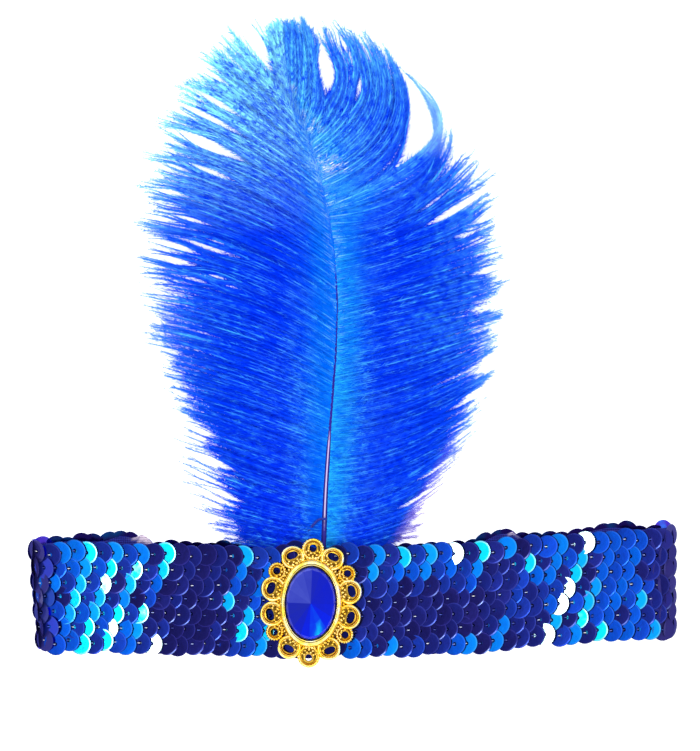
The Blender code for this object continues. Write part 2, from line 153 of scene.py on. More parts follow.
# Line of the quill, as x, y, z, radius
QUILL = np.array((
    (3.9, -8, 7.4, 0.9), (4.1, 4, 7.4, 1.3), (4.4, 21, 7.4, 1.3), (5, 38, 7.8, 1.25),
    (6, 53, 8.3, 1.15), (7.3, 69, 8.8, 1.05), (8.6, 86, 9.2, 0.95), (9.1, 104, 9.2, 0.85),
    (8.1, 120, 8.8, 0.75), (6.2, 133, 8.2, 0.65), (3.4, 146, 7.4, 0.58), (-0.3, 158, 6.4, 0.5),
    (-4.3, 169, 5.4, 0.44), (-8.8, 180.5, 4.3, 0.36),
))

# Locks of barbs, as y where they leave the quill, x and y of the tip, and bow
LEFT_LOCKS = np.array((
    (13, -25, 20, 0.03), (19.5, -31, 26, 0), (24.5, -36.5, 34, -0.03), (30, -38, 43, -0.03),
    (38, -40.5, 54, -0.01), (46.5, -44.5, 64, 0), (55.5, -49, 74.5, 0.02), (64.5, -53, 85, 0.03),
    (73.5, -56, 95.5, 0.04), (82.5, -57.5, 106.5, 0.05), (92, -58, 118, 0.06), (101.5, -58, 129, 0.06),
    (111, -57.5, 139, 0.06), (120.5, -56, 149.5, 0.055), (130, -53.5, 160, 0.05),
    (139.5, -50, 170, 0.04), (148, -43.5, 179.5, 0.03), (155.5, -37.5, 188, 0.03),
    (162, -30.5, 195.5, 0.02), (168, -23, 200.5, 0), (173.5, -15.5, 199.5, 0), (177.5, -11, 201, 0),
))
RIGHT_LOCKS = np.array((
    (13, 31, 21, 0.03), (19.5, 35.5, 27, -0.02), (24.5, 39.5, 35, -0.07), (30.5, 46, 45, -0.08),
    (38.5, 52, 55.5, -0.08), (48, 56.5, 65.5, -0.07), (58.5, 60, 76.5, -0.06), (69, 62.5, 87, -0.04),
    (79, 64, 95.5, -0.02), (88.5, 65, 103.5, -0.01), (98, 65.5, 113, -0.01), (107, 64.5, 124, -0.02),
    (115.5, 64, 136.5, -0.04), (122.5, 61, 147.5, -0.075), (129, 54.5, 159.5, -0.14),
    (136, 30.3, 185.4, -0.425), (138, 28.7, 187.3, -0.26), (144, 25.5, 191.5, -0.27),
    (150, 18.5, 196, -0.25), (157, 9.5, 199, -0.25), (163, -2.5, 201, -0.12), (169, -4, 200.5, -0.04),
    (177.5, -9.5, 201, 0),
))
# Spindle-shaped gaps in a vane: lock number, shares of its length where one opens and closes, half width
LEFT_GAPS = (
    (14.4, 0.45, 1.04, 0.25), (15.3, 0.45, 1.08, 0.15), (15.92, 0.53, 0.97, 0.14),
    (13.52, 0.52, 0.9, 0.15), (13.3, 0.76, 1, 0.11), (16.73, 0.71, 1.05, 0.09),
    (17.98, 0.6, 1.02, 0.08), (17.5, 0.25, 0.5, 0.05), (19.15, 0.47, 1.1, 0.46),
    (20.24, 0.48, 1.06, 0.08), (13.18, 0.54, 0.7, 0.05), (12.44, 0.78, 0.97, 0.09),
    (11.95, 0.78, 0.99, 0.08), (11.65, 0.64, 0.93, 0.1), (11.45, 0.74, 1.06, 0.11),
    (11.1, 0.54, 0.8, 0.09), (10.9, 0.48, 0.92, 0.13), (10.58, 0.7, 1.02, 0.15),
    (10.22, 0.72, 1.05, 0.13), (10, 0.56, 0.75, 0.1), (9.86, 0.49, 0.67, 0.07),
    (9.74, 0.7, 0.83, 0.06), (9.48, 0.84, 1, 0.08), (8.2, 0.9, 1.06, 0.1), (7, 0.89, 1.06, 0.1),
    (6.5, 0.89, 1.06, 0.08), (5.9, 0.86, 1.06, 0.09), (4.7, 0.74, 1.05, 0.11), (3.7, 0.66, 1.05, 0.13),
    (2.6, 0.6, 1.05, 0.16),
)
RIGHT_GAPS = (
    (15.5, 0.24, 1.1, 0.48), (12.65, 0.5, 0.96, 0.23), (13.4, 0.47, 0.76, 0.09),
    (13.58, 0.77, 0.91, 0.05), (12.95, 0.51, 0.64, 0.06), (11.9, 0.85, 1.06, 0.13),
    (11.7, 0.72, 0.89, 0.1), (10.3, 0.83, 1, 0.11), (9.18, 0.93, 1.05, 0.06),
    (7.95, 0.8, 0.92, 0.06), (7.58, 0.81, 0.9, 0.05), (6.46, 0.88, 1.06, 0.08),
    (5.62, 0.76, 1.06, 0.11), (19.76, 0.32, 0.85, 0.26), (18.88, 0.35, 0.72, 0.15),
    (19.14, 0.76, 0.95, 0.09), (18.66, 0.65, 0.95, 0.08), (18.2, 0.7, 1, 0.08),
    (14, 0.92, 1.05, 0.1), (4.6, 0.7, 1.05, 0.1), (3.4, 0.62, 1.05, 0.14), (2.4, 0.54, 1.05, 0.18),
)
# Locks that have only short barbs on the left, and the hooked lock on the right
THIN_LEFT = (18.4, 19.8)
HOOK = 15.2
# Numbers that tell one barb from another in its material, by side
LEFT_NAMES, RIGHT_NAMES, NAME_SPREAD = 0.0, 500.0, 400.0


# Shader nodes

class Wire:
    """A node's output that can stand in a sum."""

    def __init__(self, nodes, socket):
        self.nodes = nodes
        self.socket = socket

    def sum(self, operation, *values):
        return self.nodes.node("Math", {"operation": operation}, dict(enumerate(values)))

    def __add__(self, other):
        return self.sum("ADD", self, other)

    def __sub__(self, other):
        return self.sum("SUBTRACT", self, other)

    def __rsub__(self, other):
        return self.sum("SUBTRACT", other, self)

    def __mul__(self, other):
        return self.sum("MULTIPLY", self, other)

    def __truediv__(self, other):
        return self.sum("DIVIDE", self, other)

    def __rtruediv__(self, other):
        return self.sum("DIVIDE", other, self)

    __radd__ = __add__
    __rmul__ = __mul__

    def clamp(self, low=0.0, high=1.0):
        return self.sum("MINIMUM", self.sum("MAXIMUM", self, low), high)

    def rising(self, start, gain):
        """0 up to the start, then growing at this rate to 1."""
        return ((self - start) * gain).clamp()

    def above(self, start, span):
        """0 up to the start, and 1 from a span above it."""
        return ((self - start) / span).clamp()

    def below(self, end, span):
        """1 up to a span below the end, and 0 from the end on."""
        return ((end - self) / span).clamp()


class Nodes:
    """A tree of nodes that feeds one closing node."""

    def __init__(self, tree, closing):
        self.tree = tree
        self.closing = tree.nodes[closing]

    def node(self, kind, settings=None, sockets=None, output=0):
        """A node from its type, its settings, and the values or links of its sockets."""
        made = self.tree.nodes.new("ShaderNode" + kind)
        for name, value in (settings or {}).items():
            setattr(made, name, value)
        for name, value in (sockets or {}).items():
            if isinstance(value, Wire):
                self.tree.links.new(value.socket, made.inputs[name])
            else:
                made.inputs[name].default_value = value
        return Wire(self, made.outputs[output])

    def feed(self, socket, wire):
        self.tree.links.new(wire.socket, self.closing.inputs[socket])

    def place(self, space="Object"):
        return self.node("TexCoord", output=space)

    def axis(self, number, space="Object"):
        return self.node("SeparateXYZ", {}, {0: self.place(space)}, output=number)

    def noise(self, scale, detail, vector=None):
        sockets = {"Vector": vector or self.place(), "Scale": scale, "Detail": detail}
        return self.node("TexNoise", {}, sockets)

    def bands(self, direction):
        settings = {"wave_type": "BANDS", "bands_direction": direction}
        sockets = {"Vector": self.place(), "Scale": 420.0, "Distortion": 1.5, "Detail": 1.0}
        return self.node("TexWave", settings, sockets)

    def mark(self, name):
        return self.node("Attribute", {"attribute_name": name}, output="Fac")

    def ramp(self, share, stops):
        wire = self.node("ValToRGB", {}, {"Fac": share})
        elements = wire.socket.node.color_ramp.elements
        for _ in range(len(stops) - 2):
            elements.new(0.5)
        for element, (place, colour) in zip(elements, stops):
            element.position = place
            element.color = (*colour, 1.0)
        return wire

    def blend(self, share, first, second):
        sockets = {0: share, 6: as_colour(first), 7: as_colour(second)}
        return self.node("Mix", {"data_type": "RGBA"}, sockets, output=2)


class Finish(Nodes):
    """One material on a Principled shader."""

    def __init__(self, name, **fixed):
        self.material = bpy.data.materials.new(name)
        self.material.use_nodes = True
        super().__init__(self.material.node_tree, "Principled BSDF")
        for socket, value in fixed.items():
            self.closing.inputs[socket.replace("_", " ")].default_value = value

    def bump(self, height, strength, distance):
        sockets = {"Height": height, "Strength": strength, "Distance": distance}
        self.feed("Normal", self.node("Bump", {}, sockets))


# Helpers

def new_object(name, data):
    """An object in the scene."""
    made = bpy.data.objects.new(name, data)
    bpy.context.scene.collection.objects.link(made)
    return made


def as_colour(value):
    return value if isinstance(value, Wire) else (*value, 1.0)


def ease(value):
    value = np.clip(value, 0.0, 1.0)
    return value * value * (3.0 - 2.0 * value)


def between(low, high, shape=None):
    return DRAW.uniform(low, high, shape)


# Meshes

class Shell:
    """Points and faces of one piece, and numbers on its points that its material reads."""

    def __init__(self):
        self.points, self.faces, self.marks = [], [], {}
        self.count = 0

    def add(self, points, faces, **marks):
        points = np.asarray(points, float).reshape(-1, 3)
        self.points.append(points)
        self.faces.append(np.asarray(faces, int) + self.count)
        for name, value in marks.items():
            filled = np.broadcast_to(np.asarray(value, float).ravel(), (len(points),))
            self.marks.setdefault(name, []).append(filled)
        self.count += len(points)

    def piece(self, name, finish, slot, replaced=(), smooth=60.0):
        points = np.concatenate(self.points) / 1000.0
        mesh = bpy.data.meshes.new(name)
        mesh.vertices.add(len(points))
        mesh.vertices.foreach_set("co", points.ravel())
        sizes = np.concatenate([np.full(len(faces), faces.shape[1]) for faces in self.faces])
        corners = np.concatenate([faces.ravel() for faces in self.faces])
        mesh.loops.add(len(corners))
        mesh.loops.foreach_set("vertex_index", corners)
        mesh.polygons.add(len(sizes))
        mesh.polygons.foreach_set("loop_start", np.concatenate([[0], np.cumsum(sizes)[:-1]]))
        mesh.update(calc_edges=True)
        mesh.validate()
        for mark, values in self.marks.items():
            layer = mesh.attributes.new(mark, "FLOAT", "POINT")
            layer.data.foreach_set("value", np.concatenate(values))
        if smooth:
            mesh.shade_smooth()
            if smooth < 180.0:
                mesh.set_sharp_from_angle(angle=math.radians(smooth))
        mesh.materials.append(finish.material)
        made = new_object(name, mesh)
        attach(made, "root")
        if replaced:
            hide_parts(*replaced)
        return made


def ring_faces(rows, columns, closed=True):
    """Quads over rows of points, each row a ring; closed joins the last row to the first."""
    row = np.arange(rows if closed else rows - 1)[:, None]
    column = np.arange(columns)
    here, beyond, after = row * columns, (row + 1) % rows * columns, (column + 1) % columns
    return np.stack([here + column, here + after, beyond + after, beyond + column], -1).reshape(-1, 4)


def xyz(x, y, z):
    """Points from their coordinates."""
    return np.stack(np.broadcast_arrays(x, y, z), -1)


def angles_round(count):
    """Angles of points spaced evenly round a circle."""
    return 2 * np.pi * np.arange(count) / count


def unit(vectors):
    return vectors / np.linalg.norm(vectors, axis=-1, keepdims=True)


def tube(path, radius, sides, up=(0.0, 0.0, 1.0)):
    """Points and quads of a tube along a path; its ends are drawn to a point."""
    radius = np.full(len(path), radius, float)
    radius[[0, -1]] *= 0.05
    ahead = unit(np.gradient(path, axis=0))
    side = unit(np.cross(ahead, up))
    lift = np.cross(side, ahead)
    turn = angles_round(sides)
    around = side[:, None] * np.cos(turn)[:, None] + lift[:, None] * np.sin(turn)[:, None]
    points = path[:, None] + around * radius[:, None, None]
    return points, ring_faces(len(path), sides, closed=False)


def bead(radius, sides, levels=6):
    """A ball whose poles are tiny rings."""
    lean = np.linspace(0.03, np.pi - 0.03, levels)[:, None]
    turn = angles_round(sides)[None, :]
    ring = radius * np.sin(lean)
    points = xyz(ring * np.cos(turn), ring * np.sin(turn), radius * np.cos(lean))
    return points.reshape(-1, 3), ring_faces(levels, sides, closed=False)


# The loop

def swells(x, places):
    """Sum of soft bumps, each with its place, rise and reach."""
    return sum(rise * np.exp(-(((x - at) / reach) ** 2)) for at, rise, reach in places)


def middle_line(x):
    """Height of the band's middle, which bends up towards both ends."""
    return MIDDLE_Y + RIGHT_RISE * ease((x - 20.0) / 100.0) + LEFT_RISE * ease((10.0 - x) / 100.0)


def loop_point(along, across, depth):
    """Points at a length round the loop, a height across the band and a depth below its outer skin."""
    along, across, depth = np.broadcast_arrays(np.mod(along, LOOP), across, depth)
    right = np.clip((along - RUN) / FOLD_RADIUS, 0.0, math.pi)
    left = np.clip((along - 2 * RUN - FOLD) / FOLD_RADIUS, 0.0, math.pi)
    turn = right + left
    radius = FOLD_RADIUS - depth
    travel = np.minimum(along, RUN) - np.clip(along - RUN - FOLD, 0.0, RUN)
    x = FOLD_LEFT + FOLD_RADIUS + travel + radius * np.sin(turn)
    z = FOLD_RADIUS + radius * np.cos(turn)
    back = ease(np.where(turn > math.pi, 2 * math.pi - turn, turn) / math.pi)
    y = middle_line(x) + across + back * (BACK_RISE + swells(x, BACK_SWELLS))
    slant = FOLD_SLANT * (0.5 - across / (2 * HALF_HEIGHT)) * ease((-60.0 - x) / 30.0)
    return xyz(x + slant, y, z)


def loop_axes(along, across, depth):
    """Directions along, across and out of the band at these places."""
    ahead = unit(loop_point(along + 0.5, across, depth) - loop_point(along - 0.5, across, depth))
    upward = unit(loop_point(along, across + 0.5, depth) - loop_point(along, across - 0.5, depth))
    outward = unit(np.cross(ahead, upward))
    return ahead, upward, outward


def make_ribbon():
    """The stretch ribbon, slightly ribbed between the rows of stitches."""
    columns, lines = 240, 29
    along = LOOP * np.arange(columns)[:, None] / columns
    share = np.linspace(-1, 1, lines)[None, :]
    middle = loop_point(along, 0.0, 2.4)
    on_back = (middle[..., 2] < LOOP_THICK / 4).astype(float)
    flare = swells(middle[..., 0], RIBBON_SWELLS) * on_back
    across = share * (RIBBON_HALF + np.where(share > 0, flare, 0.0))
    wave = np.cos(2 * np.pi * across / ROW_PITCH)
    rib = 0.1 * wave
    gather = 0.05 * np.sin(2 * np.pi * along / PITCH) * wave
    outer = loop_point(along, across, RIBBON_OUTSIDE + 0.3 * rib)
    inner = loop_point(along, across, RIBBON_INSIDE + rib + gather)
    edge = ease((across - RIBBON_HALF) / 2.0) * on_back
    ribbon = Shell()
    points = np.concatenate([outer, inner[:, ::-1]], 1)
    faces = ring_faces(columns, 2 * lines)
    ribbon.add(points, faces, edge=np.concatenate([edge, edge[:, ::-1]], 1))
    made = ribbon.piece("stretch_ribbon", ribbon_finish(), "elastic_blue", ["elastic_band"])


# Sequins

def disc_places():
    """Length round the loop, height across, row and turn, 1 or -1, of each sequin."""
    rows, discs = np.meshgrid(np.arange(ROWS), np.arange(DISCS_PER_ROW), indexing="ij")
    turns = np.where((discs + rows // 2) % 2, 1, -1)
    along = (discs + 0.5 * (rows % 2)) * PITCH - DISC / 2 - 0.3 * turns + between(-0.2, 0.2, rows.shape)
    across = (rows - (ROWS - 1) / 2) * ROW_PITCH + between(-0.35, 0.35, rows.shape)
    outermost = (rows == ROWS - 1) * 1.0 - (rows == 0)
    across = across + outermost * between(-0.6, 0.7, rows.shape)
    return along.ravel(), across.ravel(), rows.ravel(), turns.ravel()


def nearest(places, x, y, allowed):
    """Number of the place nearest to x and y, among those allowed."""
    away = np.hypot(places[:, 0] - x, places[:, 1] - y)
    return np.argmin(np.where(allowed, away, np.inf))


def disc_glances(middle, turns):
    """How brightly each sequin glances, from 0 to 1, or more where it flashes."""
    level, spread, swing = (np.full(len(middle), value) for value in PLAIN_GLANCE)
    for x, y, reach_x, reach_y, *there in PATCHES:
        near = np.exp(-(((middle[:, 0] - x) / reach_x) ** 6) - ((middle[:, 1] - y) / reach_y) ** 6)
        plain = (level, spread, swing)
        level, spread, swing = (old + (new - old) * near for old, new in zip(plain, there))
    glance = level + spread * between(-1, 1, len(middle)) + swing * turns
    front = middle[:, 2] > FOLD_RADIUS
    for x, y, brightness in FLASHES:
        on_turn = (turns > 0) == (brightness > 0.5)
        glance[nearest(middle, x, y, front & on_turn)] = brightness
    return np.clip(glance, 0.0, 1.2)


def seat_discs():
    """Where each sequin sits, and how it leans: the brighter its glance, the higher its right side."""
    along, across, rows, turns = disc_places()
    rough = loop_point(along, across, 0.0)
    for x, rise in RAISED:
        across[nearest(rough, x, TOP_ROW_Y, rough[:, 2] > FOLD_RADIUS)] += rise
    ahead, upward, outward = loop_axes(along, across, 0.6)
    flat = loop_point(along, across, 0.0)
    glance = disc_glances(flat, turns)
    front = flat[:, 2] > FOLD_RADIUS
    on_seat = np.hypot(flat[:, 0] / SEAT_HALF[0], flat[:, 1] / SEAT_HALF[1]) < 1.0
    lean = 0.12 + 0.18 * glance + (flat[:, 0] - EYE_X) / (2 * EYE_Z)
    left_turn = -outward[:, 0]
    lean = np.where(left_turn > 0.04, np.maximum(0.15, 0.52 - left_turn), lean)
    lean = np.where(front, lean, 0.3 * lean)
    lean = np.where(front & on_seat, 0.05, lean)
    depth = 0.85 + 0.1 * (rows % 2) - np.maximum(DISC_RADIUS * lean - 1.1, 0.0)
    tip = between(-0.12, 0.04, along.shape) * np.where(front & ~on_seat, 1.0, 0.4)
    return loop_point(along, across, depth), ahead, upward, outward, lean, tip, glance


def stitch(middle, along_disc, normal):
    """A short thread that comes up through a disc's hole and goes down at its side."""
    arch = np.linspace(-1, 1, 5)
    path = middle + (arch[:, None] * 0.55 - 0.3) * along_disc + (0.2 * (1 - arch ** 2))[:, None] * normal
    path[:, 2] = np.maximum(path[:, 2], 0.2)
    return tube(path, 0.16, 5, up=normal)


def make_sequins():
    """Flat discs with a hole and a turned-up rim; each laps the next on its right and the row below."""
    turn = angles_round(DISC_SIDES)
    radius, height = DISC_RINGS[:, 0, None], DISC_RINGS[:, 1, None]
    disc = xyz(radius * np.cos(turn), radius * np.sin(turn), height).reshape(-1, 3)
    faces = ring_faces(len(DISC_RINGS), DISC_SIDES)[:, ::-1]
    rim, shadow_outline, underside = (np.repeat(DISC_RINGS[:, column], DISC_SIDES) for column in (2, 3, 4))
    # painted rim highlight, strongest on each disc's right side
    right_highlight = np.tile(0.5 + 0.5 * np.cos(turn), len(DISC_RINGS)) * rim
    lower_right = np.tile(np.maximum(np.cos(turn + 0.9), 0.0) ** 14, len(DISC_RINGS))
    outermost = np.repeat(np.arange(len(DISC_RINGS)) == OUTER_RING, DISC_SIDES)
    nicked = disc + np.outer(lower_right * outermost, (0.0, 0.0, 0.15))

    middle, ahead, upward, outward, lean, tip, glance = seat_discs()
    glints = between(0, 1, len(lean)) > 0.5
    front, back, knots = Shell(), Shell(), Shell()
    for number in range(len(lean)):
        along_disc = ahead[number] * math.cos(lean[number]) + outward[number] * math.sin(lean[number])
        up_disc = unit(upward[number] + outward[number] * tip[number])
        normal = unit(np.cross(along_disc, up_disc))
        form = nicked if glints[number] and glance[number] < 0.4 else disc
        points = middle[number] + form[:, :1] * along_disc + form[:, 1:2] * up_disc + form[:, 2:] * normal
        points[:, 2] = np.maximum(points[:, 2], 0.02)
        # painted glint on the lower-right rim of darker discs, and a painted rim highlight on brighter
        # ones
        glint = lower_right * rim * glints[number] * max(0.0, 0.9 - 2.5 * glance[number])
        edge = right_highlight * min(1.0, 1.2 * glance[number]) + glint
        # painted shade on discs turned away at the folds, and a painted shadow along each disc's outline
        fold_shade = 0.9 * min(1.0, 3.0 * float(np.hypot(*outward[number, :2])))
        dark = np.maximum(fold_shade, shadow_outline * (1.0 - 0.8 * (form is nicked) * (edge > 0.3)))
        shell = front if middle[number, 2] > FOLD_RADIUS else back
        shell.add(points, faces, glance=glance[number], rim=edge, underside=underside,
                  inner=underside * (shell is back), dark=dark)
        # a random light tone: some stitches carry a painted white glint
        knots.add(*stitch(middle[number], along_disc, normal), tone=between(0, 1))
    finish = sequin_finish()
    front.piece("sequins_front", finish, "sequin_blue", ["sequin_cover"], smooth=35.0)
    back.piece("sequins_back", finish, "sequin_blue", ["sequin_cover"], smooth=35.0)
    knots.piece("sequin_stitches", thread_finish(), "elastic_blue")


# Finishes, with colours as linear red, green and blue

# Film of a sequin and its lip, by how brightly it glances; the film's navy to cyan and white is painted
# reflection, and the lip's lighter shades are a painted rim highlight
PAINTED_GLANCE_FILM = (
    (0, (0.048, 0.046, 0.48)), (0.18, (0.028, 0.058, 0.68)), (0.38, (0.006, 0.105, 1)),
    (0.5, (0, 0.155, 1)), (0.62, (0, 0.25, 1)), (0.78, (0, 0.46, 1)),
    (0.92, (0, 0.7, 1)), (1, (0.6, 0.92, 1)),
)
LIP_HIGHLIGHT = (
    (0, (0.35, 0.5, 1)), (0.25, (0.05, 0.18, 0.95)), (0.6, (0.03, 0.32, 1)),
    (0.8, (0.22, 0.8, 1)), (1, (0.75, 0.98, 1)),
)
# Navy of painted shade, and the undersides' own navy
NAVY_SHADE, NAVY_BACK = (0.023, 0.019, 0.12), (0.01, 0.008, 0.16)
# Undersides' film, and the lighter blue of painted reflection patches on it
BACK_FILM, BACK_SHEEN = (0.06, 0.03, 0.5), (0.02, 0.22, 1)


def sequin_finish():
    """Metallic blue film, from purplish navy where it lies dark to cyan where it flashes, all painted
    reflection, with painted rim highlights and painted shade.
    """
    finish = Finish("sequin_blue_film", Coat_Roughness=0.1, Specular_IOR_Level=0.05)
    glance, rim, underside = finish.mark("glance"), finish.mark("rim"), finish.mark("underside")
    # painted reflection: the film's colour follows how brightly the disc glances
    painted_film = finish.ramp(glance + (finish.noise(380.0, 3.0) - 0.5) * 0.10, PAINTED_GLANCE_FILM)
    # painted rim highlight on the lip
    face = finish.blend(rim * 0.8, painted_film, finish.ramp(glance, LIP_HIGHLIGHT))
    # painted shade along each outline and on discs turned away at the folds, laid on as flat diffuse navy
    dark = finish.mark("dark")
    face = finish.blend(dark, face, NAVY_SHADE)
    # painted reflection: lighter blue patches on the undersides seen behind
    behind = finish.blend(finish.noise(150.0, 2.0).rising(0.52, 6.0), BACK_FILM, BACK_SHEEN)
    back = finish.blend(finish.mark("inner"), NAVY_BACK, behind)
    finish.feed("Base Color", finish.blend(underside, face, back))
    finish.feed("Metallic", 1.0 - dark * (1.0 - underside) * 0.95)
    finish.feed("Coat Weight", 0.1 - dark * 0.1)
    finish.feed("Roughness", 0.09 + finish.noise(900.0, 3.0) * 0.09)
    finish.bump(finish.noise(420.0, 2.0), 0.08, 0.0004)
    return finish


# Thread from navy to white; the white stands for painted glints at the holes
THREAD_WITH_GLINT = (
    (0, (0.02, 0.03, 0.3)), (0.5, (0.06, 0.12, 0.7)), (0.68, (0.5, 0.6, 0.95)),
    (1, (0.95, 0.97, 1)),
)


def thread_finish(name="stitch_thread", shine=0.5):
    """Thread from navy to white by its light tone, the white a painted glint."""
    roughness = 0.35 + 0.3 * (0.5 - shine)
    finish = Finish(name, Roughness=roughness, Coat_Weight=shine, Specular_IOR_Level=shine)
    finish.feed("Base Color", finish.ramp(finish.mark("tone"), THREAD_WITH_GLINT))
    finish.bump(finish.noise(2500.0, 1.0), 0.3, 0.0002)
    return finish


WEFT, WARP, THIN_MESH = (0.012, 0.01, 0.16), (0.03, 0.04, 0.36), (0.98, 0.82, 1)


def ribbon_finish():
    """Fine stretch mesh, mauve where it is thin."""
    finish = Finish("stretch_mesh", Roughness=0.85, Sheen_Weight=0.05, Specular_IOR_Level=0.1)
    thread = (finish.bands("Y") + finish.bands("X")) * 0.5
    cloth = finish.blend(thread, WEFT, WARP)
    finish.feed("Base Color", finish.blend(finish.mark("edge"), cloth, THIN_MESH))
    finish.bump(thread, 0.6, 0.0005)
    return finish


GOLD, GOLD_GRAIN = (1, 0.68, 0.05), (1, 0.8, 0.13)
GOLD_HIGHLIGHT, GOLD_HOLLOW_SHADE = (1, 0.9, 0.5), (0.4, 0.12, 0.01)


def gold_finish():
    """Bright gold plate, brown in its hollows from painted shade and antique patina, and paler on its
    raised rims from a painted highlight.
    """
    finish = Finish("gold_cast", Metallic=1.0)
    level = finish.axis(2) * 1000.0 - CAMEO_Z
    # brown towards the low hollows: painted shade, partly antique patina
    low = (1.0 - (level - 0.3) / 1.3).clamp()
    grain = finish.noise(700.0, 3.0)
    # painted highlight: paler cream on the raised rims
    highlight = finish.noise(330.0, 2.0).rising(0.40, 5.0) * level.above(1.1, 0.5)
    bright = finish.blend(highlight * 0.85, finish.blend(grain, GOLD, GOLD_GRAIN), GOLD_HIGHLIGHT)
    finish.feed("Base Color", finish.blend(low * 0.85, bright, GOLD_HOLLOW_SHADE))
    finish.feed("Roughness", 0.12 + grain * 0.1 + low * 0.1)
    finish.bump(finish.noise(1500.0, 2.0), 0.12, 0.0003)
    return finish


# The stone's painted reflection, from its veiled sectors to its brightest
STONE_PAINTED_LIGHT = (
    (0, (0.06, 0.085, 0.56)), (0.15, (0.034, 0.05, 0.5)), (0.3, (0.01, 0.02, 0.4)),
    (0.5, (0.003, 0.012, 0.56)), (0.72, (0, 0.014, 0.8)), (0.86, (0, 0.07, 0.86)),
    (1, (0, 0.6, 0.95)),
)


def gem_finish():
    """Royal-blue stone whose sectors carry painted reflection: veiled on the upper left and bright on the
    lower right.
    """
    finish = Finish("stone_royal_blue", Metallic=0.2, Roughness=0.12, Coat_Weight=0.6,
                    Coat_Roughness=0.03, Specular_IOR_Level=0.2)
    cloud = finish.noise(260.0, 2.0) * 0.10 - 0.05
    finish.feed("Base Color", finish.ramp((finish.mark("tone") + cloud).clamp(), STONE_PAINTED_LIGHT))
    return finish


# The quill, from its lower end to its tip
QUILL_RIDGE = (
    (0, (0.03, 0.02, 0.3)), (0.18, (0.03, 0.02, 0.3)), (0.2, (0.62, 0.52, 0.8)),
    (0.335, (0.62, 0.46, 0.82)), (0.36, (0.03, 0.006, 0.3)), (0.45, (0.012, 0.002, 0.27)),
    (0.62, (0.008, 0.004, 0.42)), (0.7, (0, 0.08, 0.9)), (1, (0.05, 0.3, 0.95)),
)
QUILL_SIDE_SHADOW = (0.012, 0.004, 0.22)


def quill_finish():
    """A pale ridge between sides darkened with painted shadow above the band, then dark purple, and blue
    at the tip.
    """
    finish = Finish("quill_horn", Roughness=0.5, Specular_IOR_Level=0.2)
    reach = finish.mark("reach")
    streak = finish.noise(260.0, 3.0)
    ridge = finish.ramp((reach + streak * 0.06 - 0.03).clamp(), QUILL_RIDGE)
    # painted shadow lines along both sides of the lower quill
    sides = finish.mark("side").rising(0.10, 6.0) * (1.0 - (reach - 0.6) * 8.0).clamp()
    finish.feed("Base Color", finish.blend(sides, ridge, QUILL_SIDE_SHADOW))
    finish.bump(streak, 0.2, 0.0003)
    return finish


# Dye of the barbs from quill to tip, in its depth, and the paler shades of the painted sheen along them
DEEP_DYE = (
    (0, (0, 0.18, 0.9)), (0.12, (0, 0.14, 0.9)), (0.2, (0, 0.06, 0.89)),
    (0.35, (0, 0.033, 0.88)), (0.7, (0, 0.036, 0.86)), (0.9, (0.004, 0.08, 0.88)),
    (1, (0.03, 0.24, 0.92)),
)
SHEEN_DYE = (
    (0, (0.03, 0.42, 1)), (0.12, (0.04, 0.38, 1)), (0.25, (0.06, 0.34, 1)),
    (0.6, (0.05, 0.42, 1)), (0.85, (0.09, 0.52, 0.98)), (1, (0.3, 0.66, 1)),
)
AZURE, COBALT, ULTRAMARINE = (0.02, 0.46, 0.95), (0, 0.045, 0.84), (0, 0.016, 0.87)
SKY_LEFT, SKY_RIGHT, HOOK_HIGHLIGHT = (0.27, 0.87, 1), (0.12, 0.66, 1), (0.38, 0.76, 1)
MAUVE, TICK_HIGHLIGHT = (0.55, 0.3, 0.7), (0.6, 0.85, 1)
STROKE, NEAR_WHITE = (0.06, 0.42, 1), (0.9, 0.97, 1)
# Heights on the quill where pale barbs bunch, with their reach
BUNCHES = ((151, 4), (166, 4.5), (178, 4))


